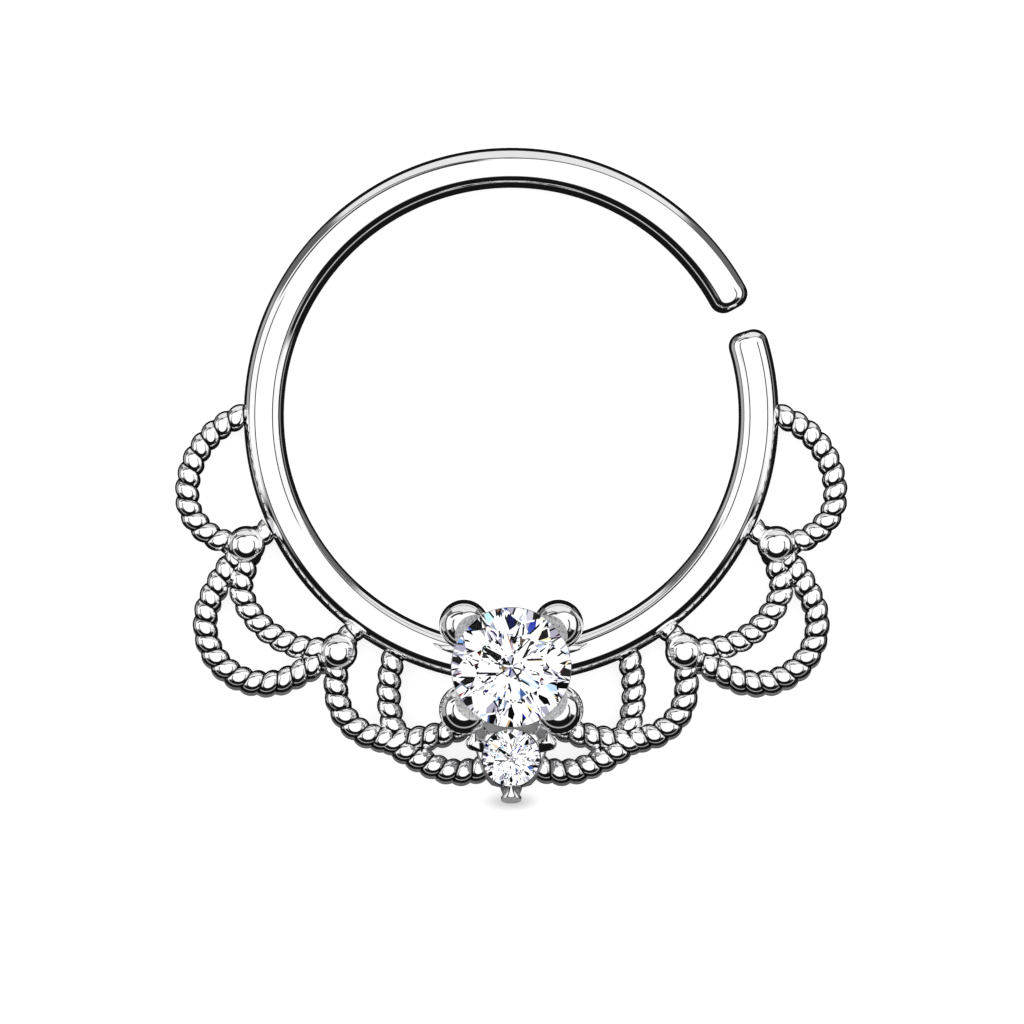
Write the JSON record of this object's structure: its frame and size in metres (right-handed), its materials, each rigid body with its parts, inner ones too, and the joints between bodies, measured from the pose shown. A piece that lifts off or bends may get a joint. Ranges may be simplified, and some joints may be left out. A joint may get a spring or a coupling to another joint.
{
  "type": "bendable hoop ring",
  "caption": "Bendable nose or ear hoop with twisted-wire lace, polished beads and two round stones in claw settings.",
  "frame": {"origin": "the hoop's centre, on the plane that the ring rests on", "axes": "+X to the side where the hoop opens, +Y from the stones up to the top of the hoop, +Z the way the stones face"},
  "size_m": [0.014, 0.0137, 0.0024],
  "materials": {
    "polished_metal": "mirror polish",
    "clear_stone": "faceted and polished"
  },
  "bodies": {
    "root": {"metal_frame": "polished_metal", "large_stone": "clear_stone", "small_stone": "clear_stone"}
  },
  "joints": []
}
